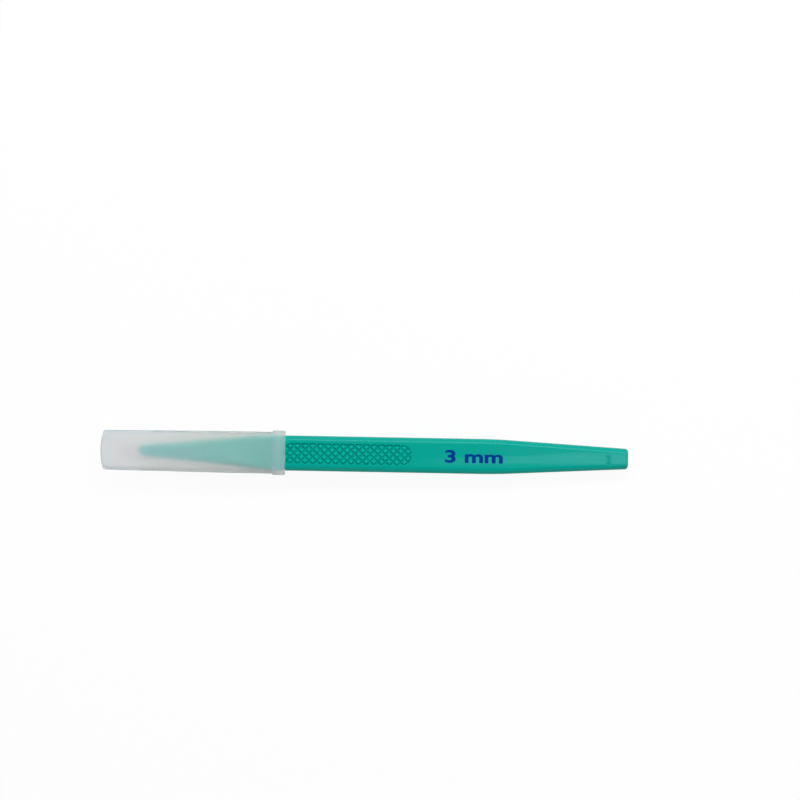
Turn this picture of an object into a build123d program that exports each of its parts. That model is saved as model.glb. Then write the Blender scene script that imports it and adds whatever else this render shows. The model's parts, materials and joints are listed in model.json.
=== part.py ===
from build123d import *
import math
import os

# Dermal curette with its cap on, in millimetres. The handle, the steel ring and the cap
# are three separate pieces. The instrument lies on a table: its axis runs along X, with
# the cap's closed end at -X and the handle's tail at +X, its flat faces look up and down,
# and it rests on the cap's collar and on the tail, so the axis slopes down a little to the
# tail. The origin is on the table, under the middle of the whole length.

# Handle: the body between shoulder and tail, and the nose that the cap hides
handle_length = 139.1
handle_width = 10.0
handle_thickness = 5.6
nose_length = 35.6
nose_tip_width = 3.1
nose_tip_thickness = 3.0
nose_side_flat = 0.4
nose_rim_radius = 0.5
shoulder_step = 0.15
tail_length = 37.7
tail_width = 5.8
tail_thickness = 4.6
tail_side_flat = 1.0
tail_rim_radius = 0.95
taper_blend = 8.0
gate_width = 2.6
gate_height = 1.4
gate_depth = 0.2

# Grip: crossed V grooves in a round-ended panel, on both flat faces
grip_width = 5.8
grip_setback = 5.0
grip_end_gap = 20.1
grip_pitch = 2.176
grip_rise = 2.07
groove_width = 0.8
groove_depth = 0.42

# Ring: one strip of steel, bent round, with both ends side by side in the nose
ring_bore = 3.0
strip_thickness = 0.28
strip_height = 1.2
strip_gap = 0.06
bend_radius = 0.4
neck_length = 1.04
seat_depth = 8.0
seat_clearance = 0.02
bevel_height = 0.5
bevel_land = 0.04

# Cap: a thin sheath that widens a little from its closed end, with a collar round its mouth
cap_ring_gap = 5.32
cap_overlap = 5.7
cap_clearance = 0.08
cap_fit_length = 15.7
cap_wall = 0.85
cap_end_wall = 1.28
cap_edge_radius = 1.6
cap_draft = 0.31
cap_lead_in = 0.15
crown_radius = 18.0
crown_rim_radius = 0.6
collar_length = 3.65
collar_step = 0.38
collar_rim_radius = 0.25
collar_step_bevel = 0.2

# Sizes that follow from those above
ring_outer_radius = ring_bore / 2 + strip_thickness
ends_width = 2 * strip_thickness + strip_gap
ring_reach = neck_length + 2 * ring_outer_radius
cap_length = cap_overlap + nose_length + ring_reach + cap_ring_gap + cap_end_wall
overall_length = handle_length + ring_reach + cap_ring_gap + cap_end_wall
grip_length = handle_length - nose_length - grip_setback - grip_end_gap - taper_blend / 2 - tail_length
half_width = handle_width / 2
half_thickness = handle_thickness / 2
edge_radius = (tail_thickness - tail_side_flat) / 2
nose_edge_radius = (nose_tip_thickness - nose_side_flat) / 2
mouth_width = handle_width + 2 * (cap_clearance + cap_wall)
mouth_thickness = handle_thickness + 2 * (cap_clearance + cap_wall)
collar_half_thickness = mouth_thickness / 2 + collar_step

# Places along the axis, from the middle of the whole length
crown_x = -overall_length / 2
cavity_end_x = crown_x + cap_end_wall
mouth_x = crown_x + cap_length
fit_x = mouth_x - cap_fit_length
tail_x = overall_length / 2
taper_x = tail_x - tail_length
nose_tip_x = tail_x - handle_length
shoulder_x = nose_tip_x + nose_length
grip_x = shoulder_x + grip_setback + grip_length / 2
ring_x = nose_tip_x - neck_length - ring_outer_radius


def support_slope(x, depth, rim_radius):
    """Slope, from the axis, of the line under the collar's rim that also touches a round edge."""
    run = (x - rim_radius) - (mouth_x - collar_rim_radius)
    rise = (collar_half_thickness - collar_rim_radius) - (depth - rim_radius)
    distance = math.hypot(run, rise)
    return math.atan2(rise, run) - math.asin((rim_radius - collar_rim_radius) / distance)


# The instrument rests where the first of these meets the table: the tail or the taper's start
tail_depth_at_rim = tail_thickness / 2 + (half_thickness - tail_thickness / 2) * tail_rim_radius / tail_length
rest_slope = min(
    support_slope(tail_x, tail_depth_at_rim, tail_rim_radius),
    support_slope(taper_x, half_thickness, 0),
)
collar_drop = collar_half_thickness - collar_rim_radius
axis_height = (
    collar_rim_radius
    + math.sin(rest_slope) * (mouth_x - collar_rim_radius)
    + math.cos(rest_slope) * collar_drop
)
axis = Plane(
    origin=(0, 0, axis_height),
    x_dir=(math.cos(rest_slope), 0, -math.sin(rest_slope)),
    z_dir=(math.sin(rest_slope), 0, math.cos(rest_slope)),
)
side = Plane(origin=axis.origin, x_dir=axis.x_dir, z_dir=-axis.y_dir)
length_axis = Axis(axis.origin, axis.x_dir)


def across(x, way=1):
    """Plane across the axis at a place along it, looking to the tail or, with way -1, to the cap's end."""
    origin = axis.from_local_coords((x, 0, 0))
    return Plane(origin=origin, x_dir=axis.y_dir * way, z_dir=axis.x_dir * way)


def face_plane(x, height, up=1):
    """Plane level with the flat faces, over a place along the axis, that looks up or down."""
    origin = axis.from_local_coords((x, 0, up * height))
    return Plane(origin=origin, x_dir=axis.x_dir, z_dir=axis.z_dir * up)


def body_outline(half_size, half_tail_size):
    """Closed outline of the handle's body: straight, then tapering, with a soft bend between."""
    bend_start = taper_x - taper_blend / 2
    bend_end = taper_x + taper_blend / 2
    slope = (half_size - half_tail_size) / tail_length
    bend_end_size = half_size - slope * taper_blend / 2
    with BuildLine() as outline:
        for up in (1, -1):
            Line((shoulder_x, up * half_size), (bend_start, up * half_size))
            Bezier(
                (bend_start, up * half_size),
                (taper_x, up * half_size),
                (bend_end, up * bend_end_size),
            )
            Line((bend_end, up * bend_end_size), (tail_x, up * half_tail_size))
        Line((shoulder_x, -half_size), (shoulder_x, half_size))
        Line((tail_x, -half_tail_size), (tail_x, half_tail_size))
    make_face(outline.edges())


def long_edges(part):
    """Edges of a part that don't lie in its two end faces."""
    end_faces = part.faces().filter_by(length_axis).sort_by(length_axis)
    return part.edges() - end_faces[0].edges() - end_faces[-1].edges()


def sheath(inset, end_x, mode):
    """Add or cut the cap's form, one inset in from its outside: a straight fit section, then a slim taper."""
    width = mouth_width - 2 * inset
    thickness = mouth_thickness - 2 * inset
    radius = cap_edge_radius - inset
    draft_angle = math.degrees(math.atan2(cap_draft, fit_x - crown_x))
    with BuildSketch(across(mouth_x, -1)) as fit:
        RectangleRounded(width, thickness, radius)
    extrude(fit.sketch, amount=cap_fit_length, mode=mode)
    with BuildSketch(across(fit_x, -1)) as drafted:
        RectangleRounded(width, thickness, radius)
    extrude(drafted.sketch, amount=fit_x - end_x, taper=draft_angle, mode=mode)


def groove_row(up, lean):
    """Parallel V grooves over one flat face, leaning one way and cut off by the panel's outline."""
    angle = math.atan2(grip_rise, grip_pitch)
    reach = (grip_length + grip_width * grip_pitch / grip_rise) / 2
    count = 2 * math.floor(reach / grip_pitch) + 1
    panel = face_plane(grip_x, half_thickness, up)
    along = panel.x_dir * math.cos(angle) + panel.y_dir * lean * math.sin(angle)
    with BuildPart() as row:
        with BuildSketch(Plane(panel.origin, x_dir=panel.z_dir.cross(along), z_dir=along)):
            with GridLocations(grip_pitch * math.sin(angle), groove_depth, count, 1):
                Polygon(
                    (0, -groove_depth),
                    (groove_width, groove_depth),
                    (-groove_width, groove_depth),
                    align=None,
                )
        extrude(amount=reach, both=True)
        with BuildSketch(face_plane(grip_x, 0)):
            SlotOverall(grip_length, grip_width)
        extrude(amount=handle_thickness, both=True, mode=Mode.INTERSECT)
    return row.part


grooves = [groove_row(up, lean) for up in (1, -1) for lean in (1, -1)]

# Nose: a straight taper from just inside the shoulder to a blunt tip
base_half_width = half_width - shoulder_step
base_half_thickness = half_thickness - shoulder_step
with BuildPart() as nose:
    with BuildSketch(axis.offset(-half_thickness)):
        Polygon(
            (nose_tip_x, -nose_tip_width / 2),
            (shoulder_x, -base_half_width),
            (shoulder_x, base_half_width),
            (nose_tip_x, nose_tip_width / 2),
            align=None,
        )
    extrude(amount=handle_thickness)
    with BuildSketch(side.offset(-half_width)):
        Polygon(
            (nose_tip_x, -nose_tip_thickness / 2),
            (shoulder_x, -base_half_thickness),
            (shoulder_x, base_half_thickness),
            (nose_tip_x, nose_tip_thickness / 2),
            align=None,
        )
    extrude(amount=handle_width, mode=Mode.INTERSECT)
    fillet(long_edges(nose), nose_edge_radius)
    fillet(nose.faces().sort_by(length_axis)[0].edges(), nose_rim_radius)

# Handle: one moulding, with the grip on both faces and a slot in the nose for the ring's ends
with BuildPart() as handle:
    with BuildSketch(axis.offset(-half_thickness)):
        body_outline(half_width, tail_width / 2)
    extrude(amount=handle_thickness)
    with BuildSketch(side.offset(-half_width)):
        body_outline(half_thickness, tail_thickness / 2)
    extrude(amount=handle_width, mode=Mode.INTERSECT)
    fillet(long_edges(handle), edge_radius)
    tail_face = handle.faces().sort_by(length_axis)[-1]
    fillet(tail_face.edges(), tail_rim_radius)
    add(nose.part)

    # Slot that holds the ring's two ends
    with BuildSketch(across(nose_tip_x)):
        Rectangle(ends_width + 2 * seat_clearance, strip_height + 2 * seat_clearance)
    extrude(amount=seat_depth + seat_clearance, mode=Mode.SUBTRACT)

    # Grip panels: the crossed grooves, which end at each panel's outline
    add(grooves, mode=Mode.SUBTRACT)

    # Gate mark: a shallow dip in the tail's end face
    with BuildSketch(across(tail_x)):
        SlotOverall(gate_width, gate_height)
    extrude(amount=-gate_depth, mode=Mode.SUBTRACT)

# Ring: the loop, both reverse bends and the two ends, then the ground edge on its upper rim
with BuildPart() as curette_ring:
    with BuildSketch(face_plane(ring_x, 0)):
        Circle(ring_outer_radius)
        ends_reach = ring_outer_radius + neck_length + seat_depth
        with Locations((ends_reach / 2, 0)):
            Rectangle(ends_reach, ends_width)
        outer_corners = vertices().filter_by_position(Axis.X, 0, ring_outer_radius)
        fillet(outer_corners, bend_radius)
        Circle(ring_bore / 2, mode=Mode.SUBTRACT)
        with Locations((ends_reach / 2, 0)):
            Rectangle(ends_reach, strip_gap, mode=Mode.SUBTRACT)
        inner_corners = vertices().filter_by_position(Axis.X, 0, ring_bore / 2)
        fillet(inner_corners, bend_radius + strip_thickness)
    extrude(amount=strip_height / 2, both=True)
    edge_plane = Plane(
        origin=axis.from_local_coords((ring_x, 0, strip_height / 2)),
        x_dir=axis.x_dir,
        z_dir=-axis.y_dir,
    )
    with BuildSketch(edge_plane):
        Polygon(
            (ring_bore / 2 + bevel_land, 0),
            (ring_outer_radius + bevel_land, 0),
            (ring_outer_radius + bevel_land, -bevel_height),
            (ring_outer_radius, -bevel_height),
            align=None,
        )
    revolve(axis=Axis(edge_plane.origin, axis.z_dir), mode=Mode.SUBTRACT)

# Cap: a sheath that widens to its mouth, with a curved closed end and a collar
with BuildPart() as cap:
    sheath(0, crown_x, Mode.ADD)
    with BuildSketch(axis):
        sag = crown_radius - math.sqrt(crown_radius**2 - mouth_width**2 / 4)
        with BuildLine():
            ThreePointArc(
                (crown_x + sag, mouth_width / 2),
                (crown_x, 0),
                (crown_x + sag, -mouth_width / 2),
            )
            Polyline(
                (crown_x + sag, -mouth_width / 2),
                (mouth_x, -mouth_width / 2),
                (mouth_x, mouth_width / 2),
                (crown_x + sag, mouth_width / 2),
            )
        make_face()
    extrude(amount=mouth_thickness, both=True, mode=Mode.INTERSECT)
    crown_face = cap.faces().sort_by(length_axis)[0]
    fillet(crown_face.edges(), crown_rim_radius)

    # Collar
    with BuildSketch(across(mouth_x)):
        RectangleRounded(
            mouth_width + 2 * collar_step,
            mouth_thickness + 2 * collar_step,
            cap_edge_radius + collar_step,
        )
    extrude(amount=-collar_length)
    step_face, mouth_face = cap.faces().filter_by(length_axis).sort_by(length_axis)[-2:]
    fillet(mouth_face.outer_wire().edges(), collar_rim_radius)
    chamfer(step_face.outer_wire().edges(), collar_step_bevel)

    # Cavity, one wall in from the same form, with a lead-in at the mouth
    sheath(cap_wall, cavity_end_x, Mode.SUBTRACT)
    mouth_face = cap.faces().sort_by(length_axis)[-1]
    chamfer(mouth_face.inner_wires()[0].edges(), cap_lead_in)

handle.part.label = "handle"
curette_ring.part.label = "curette_ring"
cap.part.label = "cap"

os.makedirs("parts", exist_ok=True)
export_step(handle.part, "parts/handle.step")
export_step(curette_ring.part, "parts/curette_ring.step")
export_step(cap.part, "parts/cap.step")
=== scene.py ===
"""Looks of a dermal curette with its cap on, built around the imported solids.

Sizes are in millimetres in the instrument's own frame, apart from the studio's, which are in metres:
x runs along it from the middle of its length towards the tail, y across the flat face, and z out of
the upper flat face.
"""

import json
import logging
import math
from dataclasses import dataclass, field
from enum import Enum
from typing import Any

import bmesh
import bpy
from mathutils import Euler, Matrix, Vector


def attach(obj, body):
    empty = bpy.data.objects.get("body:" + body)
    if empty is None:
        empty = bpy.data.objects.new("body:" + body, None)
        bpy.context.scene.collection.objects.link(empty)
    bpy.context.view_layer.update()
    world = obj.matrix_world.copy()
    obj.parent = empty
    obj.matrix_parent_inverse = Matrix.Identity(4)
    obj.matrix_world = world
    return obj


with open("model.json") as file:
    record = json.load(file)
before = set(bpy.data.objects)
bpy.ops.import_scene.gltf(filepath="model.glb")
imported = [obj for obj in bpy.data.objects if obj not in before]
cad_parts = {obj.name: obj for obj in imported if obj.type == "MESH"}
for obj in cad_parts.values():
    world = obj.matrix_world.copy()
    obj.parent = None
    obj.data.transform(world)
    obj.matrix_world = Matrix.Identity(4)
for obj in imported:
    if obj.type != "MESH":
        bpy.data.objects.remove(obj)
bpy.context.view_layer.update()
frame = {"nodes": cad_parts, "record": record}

MM = 0.001
ACROSS = Vector((0.0, 1.0, 0.0))
Colour = tuple[float, float, float]

log = logging.getLogger("curette")


class Ray(Enum):
    """Kinds of ray that a surface can answer in their own way, by the name of their Light Path output."""

    CAMERA = "Is Camera Ray"
    GLOSSY = "Is Glossy Ray"
    TRANSMISSION = "Is Transmission Ray"
    SHADOW = "Is Shadow Ray"


class Stroke(Enum):
    """How a mark stands on the surface that it is on."""

    PRINTED = "printed"
    RAISED = "raised"


@dataclass(frozen=True)
class LongAxis:
    """The instrument's own axis, which slopes a little as it lies on the table."""

    along: Vector
    up: Vector
    middle: Vector

    @classmethod
    def from_record(cls, record: dict[str, Any]) -> "LongAxis":
        """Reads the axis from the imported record.

        Args:
            record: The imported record, with the cap's slide joint and the grip's place.

        Returns:
            The axis, with its middle in metres.
        """
        joint = record["behaviour"]["joints"][0]
        grip = next(mount for mount in record["mounts"] if mount["name"] == "grip_hold")
        along = -Vector(joint["axis"]).normalized()
        up = along.cross(ACROSS).normalized()
        point = Vector(grip["pos_m"])
        return cls(along, up, point - along * (point.x / along.x))

    def place(self, x: float, y: float, z: float, dip_deg: float = 0.0) -> Matrix:
        """Gives the place of a piece that lies on a flat face.

        Args:
            x: Millimetres along the axis from its middle.
            y: Millimetres across the flat face.
            z: Millimetres out of the axis towards the upper face.
            dip_deg: How much the face falls towards the tail, beyond the axis.

        Returns:
            A matrix from the piece's own frame, in metres, to the shared frame.
        """
        turn = Matrix((self.along, ACROSS, self.up)).transposed().to_4x4()
        point = self.middle + (self.along * x + ACROSS * y + self.up * z) * MM
        return Matrix.Translation(point) @ turn @ Matrix.Rotation(math.radians(dip_deg), 4, "Y")

    def mapping(self) -> tuple[Vector, Euler]:
        """Gives the location and turn that bring Object coordinates to the instrument's own frame."""
        inverse = self.place(0, 0, 0).inverted()
        return inverse.translation, inverse.to_euler()


@dataclass
class NodeTree:
    """A shader node tree, with short ways to add its nodes and to join them."""

    tree: bpy.types.NodeTree

    def add(self, kind: str, inputs: dict[str | int, Any] | None = None, **settings: Any) -> bpy.types.Node:
        """Adds a node.

        Args:
            kind: The node's type name without its "ShaderNode" start.
            inputs: Values or output sockets for its inputs, by name or number.
            **settings: The node's own properties.

        Returns:
            The new node.
        """
        made = self.tree.nodes.new(f"ShaderNode{kind}")
        for name, value in settings.items():
            setattr(made, name, value)
        for name, value in (inputs or {}).items():
            if isinstance(value, bpy.types.NodeSocket):
                self.tree.links.new(value, made.inputs[name])
            else:
                made.inputs[name].default_value = value
        return made

    def math(
        self, operation: str, first: Any, second: Any = 0.0, clamp: bool = False
    ) -> bpy.types.NodeSocket:
        """Adds a Math node on two values or sockets and gives its output."""
        return self.add("Math", {0: first, 1: second}, operation=operation, use_clamp=clamp).outputs[0]

    def place_along(self, axis: LongAxis) -> bpy.types.NodeSocket:
        """Adds coordinates that go with the instrument.

        Args:
            axis: The instrument's axis.

        Returns:
            Coordinates in the instrument's own frame, in metres.
        """
        location, turn = axis.mapping()
        place = self.add("TexCoord").outputs["Object"]
        return self.add("Mapping", {"Vector": place, "Location": location, "Rotation": turn}).outputs[0]

    def mix_colours(self, share: bpy.types.NodeSocket, first: Any, second: Colour) -> bpy.types.NodeSocket:
        """Mixes a colour or colour socket with a second colour, by a share from 0 to 1."""
        start = first if isinstance(first, bpy.types.NodeSocket) else (*first, 1.0)
        return self.add("Mix", {0: share, 6: start, 7: (*second, 1.0)}, data_type="RGBA").outputs[2]

    def shown_to(self, *rays: Ray) -> bpy.types.NodeSocket:
        """Tells kinds of ray apart.

        Args:
            *rays: One or more kinds of ray.

        Returns:
            A value of 1 for rays of any of these kinds, and 0 for the others.
        """
        path = self.add("LightPath")
        value = path.outputs[rays[0].value]
        for ray in rays[1:]:
            value = self.math("MAXIMUM", value, path.outputs[ray.value])
        return value

    def finish(self, surface: bpy.types.NodeSocket) -> None:
        """Joins a shader to the output."""
        self.tree.links.new(surface, self.add("OutputMaterial").inputs["Surface"])


def new_material(name: str) -> tuple[bpy.types.Material, NodeTree]:
    """Makes a material with an empty node tree.

    Args:
        name: The material's name.

    Returns:
        The material and its tree.
    """
    material = bpy.data.materials.new(name)
    material.use_nodes = True
    material.node_tree.nodes.clear()
    return material, NodeTree(material.node_tree)


@dataclass(frozen=True)
class MouldTexture:
    """The fine spark-eroded texture that a steel mould leaves on plastic, as a node group."""

    name: str = "mould_texture"
    coarse_share: float = 0.35
    roughness: float = 0.55

    def group(self) -> bpy.types.NodeTree:
        """Builds the group at its first use.

        Returns:
            The group: Grain and Patch sizes in millimetres go in, Height and Mottle from 0 to 1 come out.
        """
        if self.name in bpy.data.node_groups:
            return bpy.data.node_groups[self.name]
        made = bpy.data.node_groups.new(self.name, "ShaderNodeTree")
        for label, size in (("Grain", 0.15), ("Patch", 6.0)):
            socket = made.interface.new_socket(name=label, in_out="INPUT", socket_type="NodeSocketFloat")
            socket.default_value = size
        for label in ("Height", "Mottle"):
            made.interface.new_socket(name=label, in_out="OUTPUT", socket_type="NodeSocketFloat")
        nodes = NodeTree(made)
        entry = made.nodes.new("NodeGroupInput")
        leave = made.nodes.new("NodeGroupOutput")
        place = nodes.add("TexCoord").outputs["Object"]
        outputs = []
        for size, detail in (("Grain", 2.0), ("Patch", 3.0)):
            scale = nodes.math("DIVIDE", 1 / MM, entry.outputs[size])
            noise = nodes.add(
                "TexNoise", {"Vector": place, "Scale": scale, "Detail": detail, "Roughness": self.roughness}
            )
            outputs.append(noise.outputs[0])
        fine = nodes.math("MULTIPLY", outputs[0], 1 - self.coarse_share)
        height = nodes.math("ADD", fine, nodes.math("MULTIPLY", outputs[1], self.coarse_share))
        made.links.new(height, leave.inputs["Height"])
        made.links.new(outputs[1], leave.inputs["Mottle"])
        return made

    def add_to(self, nodes: NodeTree, grain: float, patch: float) -> bpy.types.Node:
        """Places the group in a material.

        Args:
            nodes: The material's tree.
            grain: Size of the fine grain in millimetres.
            patch: Size of the mottled patches in millimetres.

        Returns:
            The group's node, with its Height and Mottle outputs.
        """
        placed = nodes.add("Group", node_tree=self.group())
        placed.inputs["Grain"].default_value = grain
        placed.inputs["Patch"].default_value = patch
        return placed


@dataclass(frozen=True)
class GripPadHighlight:
    """Where the pads between the grip's crossed grooves are painted a little lighter, a painted highlight for
    the light that their tops catch.
    """

    middle_x: float = -5.0
    length: float = 36.7
    width: float = 5.8
    pitch: float = 2.176
    rise: float = 2.07
    pad_edge: float = 0.26
    pad_middle: float = 0.4
    lowest_face: float = 2.5

    def mask(self, nodes: NodeTree, local: bpy.types.NodeSocket) -> bpy.types.NodeSocket:
        """Builds the mask of the pads' painted highlight on both flat faces.

        Args:
            nodes: The material's tree.
            local: Coordinates in the instrument's own frame, in metres.

        Returns:
            A value of 1 in the middle of each pad and 0 in the grooves and off the panels.
        """
        part = nodes.add("SeparateXYZ", {0: local})
        x = nodes.math("SUBTRACT", part.outputs["X"], self.middle_x * MM)
        y = part.outputs["Y"]
        along = nodes.math("DIVIDE", x, self.pitch * MM)
        across = nodes.math("DIVIDE", y, self.rise * MM)
        off_groove = nodes.math(
            "MINIMUM",
            nodes.math("PINGPONG", nodes.math("ADD", along, across), 0.5),
            nodes.math("PINGPONG", nodes.math("SUBTRACT", along, across), 0.5),
        )
        pads = nodes.add(
            "MapRange",
            {"Value": off_groove, "From Min": self.pad_edge, "From Max": self.pad_middle},
            interpolation_type="SMOOTHSTEP",
        )
        straight = (self.length - self.width) / 2 * MM
        beyond = nodes.math("MAXIMUM", nodes.math("SUBTRACT", nodes.math("ABSOLUTE", x), straight), 0.0)
        squares = nodes.math("ADD", nodes.math("POWER", beyond, 2.0), nodes.math("POWER", y, 2.0))
        reach = nodes.math("POWER", squares, 0.5)
        inside = nodes.math("LESS_THAN", reach, self.width / 2 * MM)
        level = nodes.math("GREATER_THAN", nodes.math("ABSOLUTE", part.outputs["Z"]), self.lowest_face * MM)
        return nodes.math("MULTIPLY", nodes.math("MULTIPLY", inside, level), pads.outputs[0])


@dataclass(frozen=True)
class PaintedSheen:
    """A painted sheen: pale streaky colour on the flat faces that spreads and widens towards the tail,
    standing in for a lamp's reflection on the tail's sloping face.
    """

    faint_x: float = 8.0
    full_x: float = 46.0
    faint_y: float = -2.3
    middle_y: float = -0.65
    lean_end_x: float = 61.0
    narrow: float = 1.5
    wide: float = 2.3
    solid_share: float = 0.35
    streak_length: float = 9.0
    streak_width: float = 0.3
    streak_range: tuple[float, float] = (0.3, 0.65)
    faintest_streak: float = 0.55

    def mask(self, nodes: NodeTree, local: bpy.types.NodeSocket) -> bpy.types.NodeSocket:
        """Builds the painted sheen's mask, which spreads over the face towards the tail.

        Args:
            nodes: The material's tree.
            local: Coordinates in the instrument's own frame, in metres.

        Returns:
            A value from 0 to 1.
        """
        part = nodes.add("SeparateXYZ", {0: local})
        x = part.outputs["X"]
        lean = (self.middle_y - self.faint_y) / (self.full_x - self.faint_x)
        middle = nodes.add(
            "MapRange",
            {
                "Value": x,
                "From Min": self.faint_x * MM,
                "From Max": self.lean_end_x * MM,
                "To Min": self.faint_y * MM,
                "To Max": (self.faint_y + lean * (self.lean_end_x - self.faint_x)) * MM,
            },
        ).outputs[0]
        half_width = nodes.add(
            "MapRange",
            {
                "Value": x,
                "From Min": self.full_x * MM,
                "From Max": self.lean_end_x * MM,
                "To Min": self.narrow * MM,
                "To Max": self.wide * MM,
            },
        ).outputs[0]
        off = nodes.math("ABSOLUTE", nodes.math("SUBTRACT", part.outputs["Y"], middle))
        across = nodes.add(
            "MapRange",
            {"Value": nodes.math("DIVIDE", off, half_width), "From Min": 1.0, "From Max": self.solid_share},
            interpolation_type="SMOOTHSTEP",
        ).outputs[0]
        strength = nodes.add(
            "MapRange",
            {"Value": x, "From Min": self.faint_x * MM, "From Max": self.full_x * MM},
            interpolation_type="SMOOTHSTEP",
        ).outputs[0]
        stretched = nodes.add(
            "Mapping",
            {
                "Vector": local,
                "Scale": tuple(1 / (size * MM) for size in (self.streak_length, self.streak_width, 1.0)),
            },
        )
        streaks = nodes.add("TexNoise", {"Vector": stretched.outputs[0], "Scale": 1.0, "Detail": 2.0})
        streaky = nodes.add(
            "MapRange",
            {
                "Value": streaks.outputs[0],
                "From Min": self.streak_range[0],
                "From Max": self.streak_range[1],
                "To Min": self.faintest_streak,
            },
        )
        spread = nodes.math("MULTIPLY", across, strength)
        return nodes.math("MULTIPLY", spread, streaky.outputs[0], clamp=True)


@dataclass(frozen=True)
class HandlePlastic:
    """Satin teal moulding plastic, with the fine line where the two mould halves met, a painted highlight on
    the grip's pads and a painted sheen on the face towards the tail.
    """

    name: str = "teal_moulding"
    colour: Colour = (0.0, 0.405, 0.33)
    shaded_colour: Colour = (0.0, 0.385, 0.31)
    # Lighter colour painted on the grip's pads: a painted highlight.
    pad_highlight_colour: Colour = (0.0, 0.51, 0.42)
    # Paler colour of the painted sheen towards the tail.
    painted_sheen_colour: Colour = (0.026, 0.44, 0.375)
    smoothest: float = 0.23
    roughest: float = 0.29
    refraction: float = 1.15
    specular: float = 0.8
    grain_mm: float = 0.16
    patch_mm: float = 5.0
    grain_depth_mm: float = 0.0035
    line_width_mm: float = 0.07
    line_depth_mm: float = 0.03
    pad_highlight: GripPadHighlight = field(default_factory=GripPadHighlight)
    painted_sheen: PaintedSheen = field(default_factory=PaintedSheen)

    def build(self, axis: LongAxis) -> bpy.types.Material:
        """Builds the material.

        Args:
            axis: The instrument's axis, which the mould's parting line follows.

        Returns:
            The material.
        """
        material, nodes = new_material(self.name)
        texture = MouldTexture().add_to(nodes, self.grain_mm, self.patch_mm)
        local = nodes.place_along(axis)
        mottled = nodes.mix_colours(texture.outputs["Mottle"], self.shaded_colour, self.colour)
        # Painted sheen: the face is mixed towards a paler colour towards the tail.
        with_painted_sheen = nodes.mix_colours(self.painted_sheen.mask(nodes, local), mottled, self.painted_sheen_colour)
        # Painted highlight: the grip's pads are mixed towards a lighter colour.
        colour = nodes.mix_colours(self.pad_highlight.mask(nodes, local), with_painted_sheen, self.pad_highlight_colour)
        roughness = nodes.add(
            "MapRange", {"Value": texture.outputs["Mottle"], "To Min": self.smoothest, "To Max": self.roughest}
        )
        shader = nodes.add(
            "BsdfPrincipled",
            {
                "Base Color": colour,
                "Roughness": roughness.outputs[0],
                "Normal": self._surface(nodes, texture, local),
                "IOR": self.refraction,
                "Specular IOR Level": self.specular,
            },
        )
        nodes.finish(shader.outputs[0])
        return material

    def _surface(
        self, nodes: NodeTree, texture: bpy.types.Node, local: bpy.types.NodeSocket
    ) -> bpy.types.NodeSocket:
        """Bumps the surface with its texture and the parting line round the middle of its thickness.

        Args:
            nodes: The material's tree.
            texture: The mould texture's node.
            local: Coordinates in the instrument's own frame, in metres.

        Returns:
            The bumped normal.
        """
        grain = nodes.add("Bump", {"Height": texture.outputs["Height"], "Distance": self.grain_depth_mm * MM})
        level = nodes.add("SeparateXYZ", {0: local}).outputs["Z"]
        off_line = nodes.math("DIVIDE", nodes.math("ABSOLUTE", level), self.line_width_mm * MM)
        ridge = nodes.math("SUBTRACT", 1.0, off_line, clamp=True)
        line = nodes.add(
            "Bump", {"Height": ridge, "Distance": self.line_depth_mm * MM, "Normal": grain.outputs[0]}
        )
        return line.outputs[0]


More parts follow.
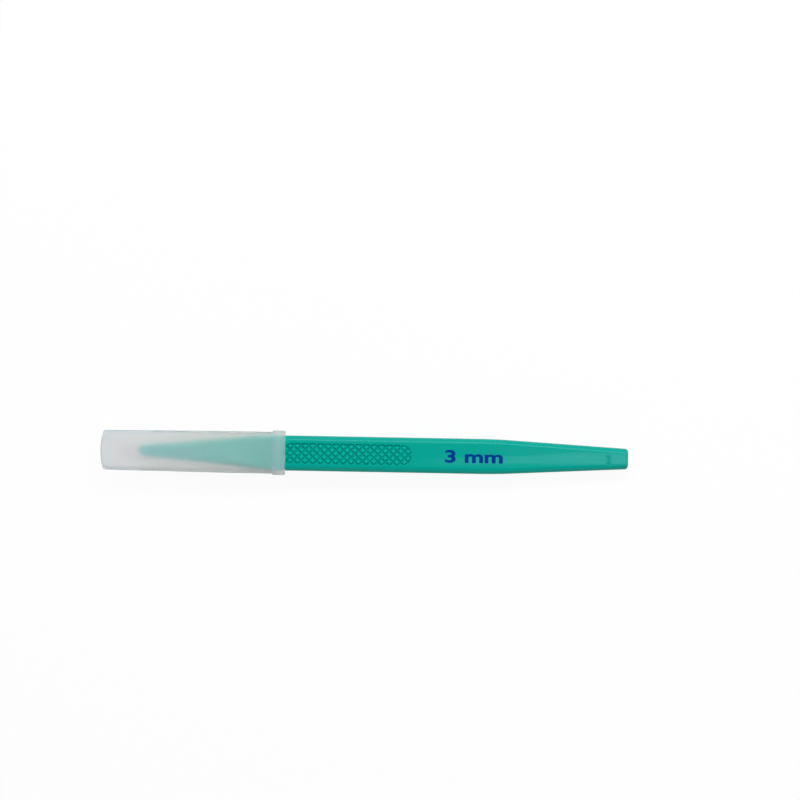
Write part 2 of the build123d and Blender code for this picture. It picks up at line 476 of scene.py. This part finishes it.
@dataclass(frozen=True)
class FrostedPlastic:
    """Milky see-through plastic that blurs what is behind it, and lets the lamps reach what it covers."""

    colour: Colour = (0.92, 0.82, 0.7)
    rim_colour: Colour = (0.36, 0.47, 0.45)
    rim_blend: float = 0.42
    haze_colour: Colour = (0.64, 0.82, 1.0)
    mouth_haze: float = 0.13
    crown_haze: float = 0.24
    collar_haze: float = 0.035
    # Extra haze in a thin band at the collar's step: a painted highlight of the step catching the light.
    step_highlight_haze: float = 0.12
    mouth_x: float = -22.65
    step_x: float = -26.3
    step_width: float = 0.3
    crown_x: float = -73.0
    lamp_share: Colour = (0.7, 0.66, 0.74)
    smoothest: float = 0.78
    roughest: float = 0.86
    refraction: float = 1.3
    grain_mm: float = 0.3
    patch_mm: float = 4.0
    grain_depth_mm: float = 0.004

    def build(self, axis: LongAxis) -> bpy.types.Material:
        """Builds the material.

        Args:
            axis: The instrument's axis, along which the plastic's milkiness changes.

        Returns:
            The material.
        """
        material, nodes = new_material("frosted_sheath")
        texture = MouldTexture().add_to(nodes, self.grain_mm, self.patch_mm)
        roughness = nodes.add(
            "MapRange", {"Value": texture.outputs["Mottle"], "To Min": self.smoothest, "To Max": self.roughest}
        )
        bump = nodes.add("Bump", {"Height": texture.outputs["Height"], "Distance": self.grain_depth_mm * MM})
        facing = nodes.add("LayerWeight", {"Blend": self.rim_blend}).outputs["Facing"]
        tint = nodes.mix_colours(facing, self.colour, self.rim_colour)
        shader = nodes.add(
            "BsdfPrincipled",
            {
                "Base Color": tint,
                "Roughness": roughness.outputs[0],
                "IOR": self.refraction,
                "Transmission Weight": 1.0,
                "Normal": bump.outputs[0],
            },
        )
        haze = nodes.add("BsdfDiffuse", {"Color": (*self.haze_colour, 1.0), "Normal": bump.outputs[0]})
        along = nodes.add("SeparateXYZ", {0: nodes.place_along(axis)}).outputs["X"]
        haze_share = self._haze_share(nodes, along)
        milky = nodes.add("MixShader", {0: haze_share, 1: shader.outputs[0], 2: haze.outputs[0]})
        clear = nodes.add("BsdfTransparent", {"Color": (*self.lamp_share, 1.0)})
        mixed = nodes.add(
            "MixShader",
            {0: nodes.shown_to(Ray.SHADOW), 1: milky.outputs[0], 2: clear.outputs[0]},
        )
        nodes.finish(mixed.outputs[0])
        return material

    def _haze_share(self, nodes: NodeTree, x: bpy.types.NodeSocket) -> bpy.types.NodeSocket:
        """Gives the share of haze, which is more to the closed end and in the thick collar, with a thin band
        of extra haze at the collar's step as a painted highlight of the step catching the light.

        Args:
            nodes: The material's tree.
            x: Place along the instrument from its middle, in metres.

        Returns:
            A share from 0 to 1.
        """
        length = nodes.add(
            "MapRange",
            {
                "Value": x,
                "From Min": self.mouth_x * MM,
                "From Max": self.crown_x * MM,
                "To Min": self.mouth_haze,
                "To Max": self.crown_haze,
            },
        )
        past_step = nodes.math("DIVIDE", nodes.math("SUBTRACT", x, self.step_x * MM), self.step_width * MM)
        collar = nodes.math("ADD", past_step, 0.5, clamp=True)
        step = nodes.math("SUBTRACT", 1.0, nodes.math("ABSOLUTE", past_step), clamp=True)
        thicker = nodes.math("MULTIPLY", collar, self.collar_haze)
        # Painted highlight: a thin band of extra haze along the collar's step.
        edge = nodes.math("MULTIPLY", step, self.step_highlight_haze)
        return nodes.math("ADD", length.outputs[0], nodes.math("ADD", thicker, edge))


@dataclass(frozen=True)
class GroundSteel:
    """Stainless strip, ground across its width."""

    colour: Colour = (0.62, 0.63, 0.64)
    smoothest: float = 0.18
    roughest: float = 0.34
    scratch_mm: tuple[float, float, float] = (0.6, 0.6, 0.04)

    def build(self) -> bpy.types.Material:
        """Builds the material.

        Returns:
            The material.
        """
        material, nodes = new_material("ground_steel")
        stretched = nodes.add(
            "Mapping",
            {
                "Vector": nodes.add("TexCoord").outputs["Object"],
                "Scale": tuple(1 / (size * MM) for size in self.scratch_mm),
            },
        )
        scratches = nodes.add("TexNoise", {"Vector": stretched.outputs[0], "Scale": 1.0, "Detail": 3.0})
        roughness = nodes.add(
            "MapRange", {"Value": scratches.outputs[0], "To Min": self.smoothest, "To Max": self.roughest}
        )
        shader = nodes.add(
            "BsdfPrincipled",
            {"Base Color": (*self.colour, 1.0), "Metallic": 1.0, "Roughness": roughness.outputs[0]},
        )
        nodes.finish(shader.outputs[0])
        return material


@dataclass(frozen=True)
class PadInk:
    """Navy pad-printing ink, which lies on the plastic as a thin satin film."""

    colour: Colour = (0.0, 0.045, 0.28)
    roughness: float = 0.3
    refraction: float = 1.12

    def build(self) -> bpy.types.Material:
        """Builds the material.

        Returns:
            The material.
        """
        material, nodes = new_material("navy_ink")
        shader = nodes.add(
            "BsdfPrincipled",
            {"Base Color": (*self.colour, 1.0), "Roughness": self.roughness, "IOR": self.refraction},
        )
        nodes.finish(shader.outputs[0])
        return material


@dataclass
class Mark:
    """Lettering on the handle's upper face, printed on it or raised from it.

    Boldness, soft edge, half depth and weld gap are shares of the font's own size, before the letters
    are fitted to their height, width and thickness.
    """

    name: str
    text: str
    stroke: Stroke
    x: float
    y: float
    z: float
    dip_deg: float
    height: float
    width: float
    boldness: float
    thickness: float
    soft_edge: float = 0.0
    soft_edge_steps: int = 2
    sunk: float = 0.02
    half_depth: float = 0.5
    weld_gap: float = 1e-5

    def build(self, axis: LongAxis, material: bpy.types.Material) -> bpy.types.Object:
        """Builds the lettering as a mesh in its place, centred on it.

        Args:
            axis: The instrument's axis.
            material: What the lettering is made of.

        Returns:
            The finished piece.
        """
        mesh = self._letters()
        mesh.transform(self._fit(mesh))
        mesh.transform(axis.place(self.x, self.y, self.z, self.dip_deg))
        mesh.materials.clear()
        mesh.materials.append(material)
        piece = bpy.data.objects.new(self.name, mesh)
        bpy.context.scene.collection.objects.link(piece)
        return piece

    def _letters(self) -> bpy.types.Mesh:
        """Turns the text into a closed mesh.

        Returns:
            The mesh, in units of the letters' own size and a unit deep before its soft edge.
        """
        curve = bpy.data.curves.new(f"{self.name}_text", "FONT")
        curve.body = self.text
        curve.align_x = "CENTER"
        curve.offset = self.boldness - self.soft_edge
        curve.extrude = self.half_depth
        curve.bevel_depth = self.soft_edge
        curve.bevel_resolution = self.soft_edge_steps
        source = bpy.data.objects.new(f"{self.name}_text", curve)
        bpy.context.scene.collection.objects.link(source)
        bpy.context.view_layer.update()
        shown = source.evaluated_get(bpy.context.evaluated_depsgraph_get())
        mesh = bpy.data.meshes.new_from_object(shown)
        mesh.name = self.name
        bpy.data.objects.remove(source)
        shell = bmesh.new()
        shell.from_mesh(mesh)
        bmesh.ops.remove_doubles(shell, verts=shell.verts, dist=self.weld_gap)
        bmesh.ops.recalc_face_normals(shell, faces=shell.faces)
        shell.to_mesh(mesh)
        shell.free()
        return mesh

    def _fit(self, mesh: bpy.types.Mesh) -> Matrix:
        """Scales and centres the letters to the mark's size, with their feet sunk a little in the surface.

        Args:
            mesh: The letters, in units of their own size.

        Returns:
            A matrix from those units to metres in the mark's own frame.
        """
        corners = [vertex.co for vertex in mesh.vertices]
        low = Vector(min(co[i] for co in corners) for i in range(3))
        high = Vector(max(co[i] for co in corners) for i in range(3))
        span = high - low
        size = Vector((self.width, self.height, self.thickness + self.sunk)) * MM
        scale = Matrix.Diagonal((size.x / span.x, size.y / span.y, size.z / span.z, 1.0))
        centre = Vector(((low.x + high.x) / 2, (low.y + high.y) / 2, low.z))
        return Matrix.Translation((0.0, 0.0, -self.sunk * MM)) @ scale @ Matrix.Translation(-centre)


@dataclass
class Handle:
    """The handle moulding with its printed size and its raised cavity number."""

    axis: LongAxis
    half_thickness: float = 2.8
    half_tail_thickness: float = 2.3
    tail_length: float = 37.7
    tail_x: float = 75.15
    size_x: float = 31.1
    number_x: float = 69.5
    plastic: HandlePlastic = field(default_factory=HandlePlastic)
    # The raised number's rougher plastic. Its painted sheen colour is close to its base colour, so the painted
    # sheen hardly shows on it.
    matt_plastic: HandlePlastic = HandlePlastic(
        name="teal_moulding_matt", painted_sheen_colour=(0.0, 0.4, 0.325), smoothest=0.55, roughest=0.65
    )
    ink: PadInk = field(default_factory=PadInk)

    def face_height(self, x: float) -> float:
        """Height of the upper flat face above the axis at a place along it."""
        fall = max(0.0, x - (self.tail_x - self.tail_length)) / self.tail_length
        return self.half_thickness - fall * (self.half_thickness - self.half_tail_thickness)

    def build(self, node: bpy.types.Object) -> list[bpy.types.Object]:
        """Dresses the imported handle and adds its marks.

        Args:
            node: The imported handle.

        Returns:
            The marks.
        """
        dress(node, self.plastic.build(self.axis))
        marks = []
        for mark, material, slot in (
            (self._size_mark(), self.ink.build(), None),
            (self._number_mark(), self.matt_plastic.build(self.axis), "handle_plastic"),
        ):
            piece = mark.build(self.axis, material)
            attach(piece, "instrument")
            log.info("%s mark %r at x %.1f mm", mark.stroke.value, mark.text, mark.x)
            marks.append(piece)
        return marks

    def _size_mark(self) -> Mark:
        """Gives the ring's size, printed across the straight part of the face.

        Returns:
            The mark.
        """
        return Mark(
            name="size_print",
            text="3 mm",
            stroke=Stroke.PRINTED,
            x=self.size_x,
            y=-0.1,
            z=self.face_height(self.size_x),
            dip_deg=0.0,
            height=3.7,
            width=16.5,
            boldness=0.03,
            thickness=0.015,
        )

    def _number_mark(self) -> Mark:
        """Gives the mould's cavity number, raised on the tail's sloping face.

        Returns:
            The mark.
        """
        fall = self.half_thickness - self.half_tail_thickness
        return Mark(
            name="cavity_number",
            text="2",
            stroke=Stroke.RAISED,
            x=self.number_x,
            y=0.0,
            z=self.face_height(self.number_x),
            dip_deg=math.degrees(math.atan2(fall, self.tail_length)),
            height=2.4,
            width=1.25,
            boldness=0.045,
            thickness=0.2,
            soft_edge=0.04,
        )


@dataclass
class Ring:
    """The steel ring blade."""

    steel: GroundSteel = field(default_factory=GroundSteel)

    def build(self, node: bpy.types.Object) -> None:
        """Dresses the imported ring."""
        dress(node, self.steel.build())


@dataclass
class Cap:
    """The frosted cap."""

    axis: LongAxis
    plastic: FrostedPlastic = field(default_factory=FrostedPlastic)

    def build(self, node: bpy.types.Object) -> None:
        """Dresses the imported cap."""
        dress(node, self.plastic.build(self.axis))


def dress(node: bpy.types.Object, material: bpy.types.Material) -> None:
    """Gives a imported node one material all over.

    Args:
        node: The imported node.
        material: Its material.
    """
    node.data.materials.clear()
    node.data.materials.append(material)
    log.info("%s is dressed in %s", node.name, material.name)


@dataclass(frozen=True)
class Lamp:
    """A soft studio lamp that faces the object. Its places and sizes are in metres."""

    name: str
    place: tuple[float, float, float]
    size: tuple[float, float]
    level: float
    colour: Colour = (1.0, 1.0, 1.0)
    aim: tuple[float, float, float] = (0.0, 0.0, 0.004)

    def build(self) -> bpy.types.Object:
        """Builds the lamp.

        Returns:
            The lamp's object. Its level is the brightness of its face, where 1 is white.
        """
        data = bpy.data.lights.new(self.name, "AREA")
        data.shape = "RECTANGLE"
        data.size, data.size_y = self.size
        data.energy = self.level * math.pi * self.size[0] * self.size[1]
        data.color = self.colour
        lamp = bpy.data.objects.new(self.name, data)
        lamp.location = self.place
        towards = Vector(self.aim) - Vector(self.place)
        lamp.rotation_euler = towards.to_track_quat("-Z", "Y").to_euler()
        lamp.visible_camera = False
        bpy.context.scene.collection.objects.link(lamp)
        return lamp


@dataclass
class Studio:
    """The pale table, the surroundings, the lamps and the camera."""

    floor_size: float = 3.0
    floor_white: float = 0.93
    floor_seen: float = 1.0
    floor_bounce: float = 0.4
    wall_level: float = 1.0
    ceiling_level: float = 0.1
    wall_top: float = 0.35
    ceiling_edge: float = 0.8
    near_wall_share: float = 1.05
    far_wall_share: float = 0.6
    wall_turn: float = 0.6
    lamps: tuple[Lamp, ...] = (
        Lamp("upper_softbox", (0.1, 0.57, 0.62), (0.95, 0.13), 14.6),
        Lamp("tail_softbox", (0.18, 0.0, 0.55), (0.1, 0.06), 14.0, aim=(0.06, 0.0, 0.004)),
    )
    camera_height: float = 1.5
    camera_turn_deg: float = 1.04
    frame_width: float = 0.228
    sensor_mm: float = 36.0
    frame_centre: tuple[float, float] = (0.0101, 0.0155)
    middle_height: float = 0.0043

    def build(self) -> None:
        """Builds the whole studio."""
        self._floor()
        self._room()
        for lamp in self.lamps:
            lamp.build()
        self._camera()

    def _floor(self) -> bpy.types.Object:
        """Builds the table top, white to the camera apart from the object's shadow.

        Returns:
            The table top.
        """
        material, nodes = new_material("table_top")
        seen = nodes.shown_to(Ray.CAMERA, Ray.GLOSSY, Ray.TRANSMISSION)
        shade = nodes.add(
            "MapRange", {"Value": seen, "To Min": self.floor_bounce, "To Max": self.floor_seen}
        )
        lit = nodes.add("BsdfDiffuse", {"Color": shade.outputs[0]})
        glow = nodes.add("Emission", {"Color": (1.0, 1.0, 1.0, 1.0), "Strength": 1.0})
        share = nodes.math("MULTIPLY", nodes.shown_to(Ray.CAMERA, Ray.TRANSMISSION), self.floor_white)
        mixed = nodes.add("MixShader", {0: share, 1: lit.outputs[0], 2: glow.outputs[0]})
        nodes.finish(mixed.outputs[0])
        mesh = bpy.data.meshes.new("table_top")
        shell = bmesh.new()
        bmesh.ops.create_grid(shell, x_segments=1, y_segments=1, size=self.floor_size / 2)
        shell.to_mesh(mesh)
        shell.free()
        mesh.materials.append(material)
        floor = bpy.data.objects.new("table_top", mesh)
        bpy.context.scene.collection.objects.link(floor)
        return floor

    def _room(self) -> None:
        """Surrounds the table with white walls, the far one giving less light, under a dim ceiling."""
        world = bpy.data.worlds.new("studio_room")
        world.use_nodes = True
        world.node_tree.nodes.clear()
        nodes = NodeTree(world.node_tree)
        direction = nodes.add("TexCoord").outputs["Generated"]
        heading = nodes.add("SeparateXYZ", {0: direction})
        level = nodes.add(
            "MapRange",
            {
                "Value": heading.outputs["Z"],
                "From Min": self.wall_top,
                "From Max": self.ceiling_edge,
                "To Min": self.wall_level,
                "To Max": self.ceiling_level,
            },
        )
        side = nodes.add(
            "MapRange",
            {
                "Value": heading.outputs["Y"],
                "From Min": -self.wall_turn,
                "From Max": self.wall_turn,
                "To Min": self.near_wall_share,
                "To Max": self.far_wall_share,
            },
        )
        seen = nodes.shown_to(Ray.CAMERA, Ray.GLOSSY, Ray.TRANSMISSION)
        share = nodes.math("MAXIMUM", side.outputs[0], seen)
        strength = nodes.math("MULTIPLY", level.outputs[0], share)
        light = nodes.add("Background", {"Color": (1.0, 1.0, 1.0, 1.0), "Strength": strength})
        output = nodes.add("OutputWorld")
        world.node_tree.links.new(light.outputs[0], output.inputs["Surface"])
        bpy.context.scene.world = world

    def _camera(self) -> None:
        """Sets the camera straight over the table, turned a little as in the photograph."""
        data = bpy.data.cameras.new("overhead_camera")
        data.sensor_width = self.sensor_mm
        data.lens = self.sensor_mm * self.camera_height / self.frame_width
        camera = bpy.data.objects.new("overhead_camera", data)
        turn = Matrix.Rotation(math.radians(self.camera_turn_deg), 4, "Z")
        camera.location = turn @ Vector((*self.frame_centre, self.camera_height + self.middle_height))
        camera.rotation_euler = (0.0, 0.0, math.radians(self.camera_turn_deg))
        bpy.context.scene.collection.objects.link(camera)
        bpy.context.scene.camera = camera


def main() -> None:
    """Builds the dressed instrument and its studio."""
    logging.basicConfig(level=logging.INFO, format="%(name)s: %(message)s")
    nodes = frame["nodes"]
    axis = LongAxis.from_record(frame["record"])
    Handle(axis).build(nodes["handle"])
    Ring().build(nodes["curette_ring"])
    Cap(axis).build(nodes["cap"])
    Studio().build()
    bpy.context.scene.view_settings.view_transform = "Standard"


if __name__ == "__main__":
    main()
